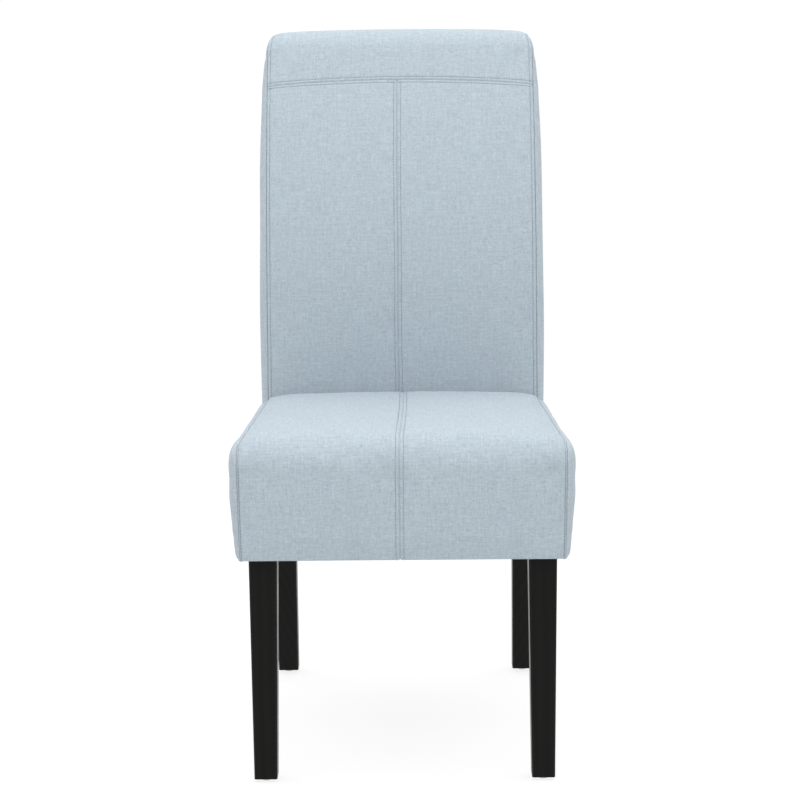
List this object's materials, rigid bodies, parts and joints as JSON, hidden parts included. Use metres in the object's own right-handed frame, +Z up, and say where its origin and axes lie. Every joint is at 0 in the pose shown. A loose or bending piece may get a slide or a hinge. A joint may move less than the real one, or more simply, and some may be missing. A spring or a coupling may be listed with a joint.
{
  "type": "parsons chair",
  "caption": "Upholstered parsons dining chair with a high curved back, T-stitched seams, a padded seat and square tapered dark wooden legs.",
  "frame": {"origin": "on the floor, at the middle of the chair's overall width and depth", "axes": "+Z up; the chair faces -Y; +X is to the right of someone who looks at its front"},
  "size_m": [0.4714, 0.6124, 1.0395],
  "materials": {
    "fabric": "matt heathered linen weave, pale blue",
    "foam": "open-cell foam, cream",
    "wadding": "white fibre wadding",
    "frame_wood": "bare wood and plywood",
    "webbing": "woven elastic webbing, black",
    "liner": "stiff fibre board, brown",
    "dust_cover": "thin non-woven cloth, black",
    "leg_wood": "satin black lacquer on wood",
    "steel": "zinc-plated steel",
    "glide": "smooth light grey plastic"
  },
  "bodies": {
    "root": {"seat_cover_left": "fabric", "seat_cover_right": "fabric", "seat_side_panel_left": "fabric", "seat_side_panel_right": "fabric", "back_cover_left": "fabric", "back_cover_right": "fabric", "back_side_panel_left": "fabric", "back_side_panel_right": "fabric", "back_top_band": "fabric", "back_rear_panel": "fabric", "seat_foam": "foam", "back_foam": "foam", "seat_front_padding": "wadding", "seat_side_padding_left": "wadding", "seat_side_padding_right": "wadding", "back_rear_wadding": "wadding", "back_side_padding_left": "wadding", "back_side_padding_right": "wadding", "seat_front_rail": "frame_wood", "seat_rear_rail": "frame_wood", "seat_side_rail_left": "frame_wood", "seat_side_rail_right": "frame_wood", "back_post_left": "frame_wood", "back_post_right": "frame_wood", "back_lower_rail": "frame_wood", "back_top_rail": "frame_wood", "front_corner_block_left": "frame_wood", "front_corner_block_right": "frame_wood", "rear_corner_block_left": "frame_wood", "rear_corner_block_right": "frame_wood", "seat_webbing_lengthwise_1": "webbing", "seat_webbing_lengthwise_2": "webbing", "seat_webbing_lengthwise_3": "webbing", "seat_webbing_crosswise_1": "webbing", "seat_webbing_crosswise_2": "webbing", "seat_webbing_crosswise_3": "webbing", "back_webbing_1": "webbing", "back_webbing_2": "webbing", "back_webbing_3": "webbing", "back_liner": "liner", "dust_cover": "dust_cover", "front_leg_left": "leg_wood", "front_leg_right": "leg_wood", "rear_leg_left": "leg_wood", "rear_leg_right": "leg_wood", "front_leg_bolt_left": "steel", "front_leg_bolt_right": "steel", "rear_leg_bolt_left": "steel", "rear_leg_bolt_right": "steel", "front_leg_nut_left": "steel", "front_leg_nut_right": "steel", "rear_leg_insert_left": "steel", "rear_leg_insert_right": "steel", "front_glide_left": "glide", "front_glide_right": "glide", "rear_glide_left": "glide", "rear_glide_right": "glide"}
  },
  "joints": []
}
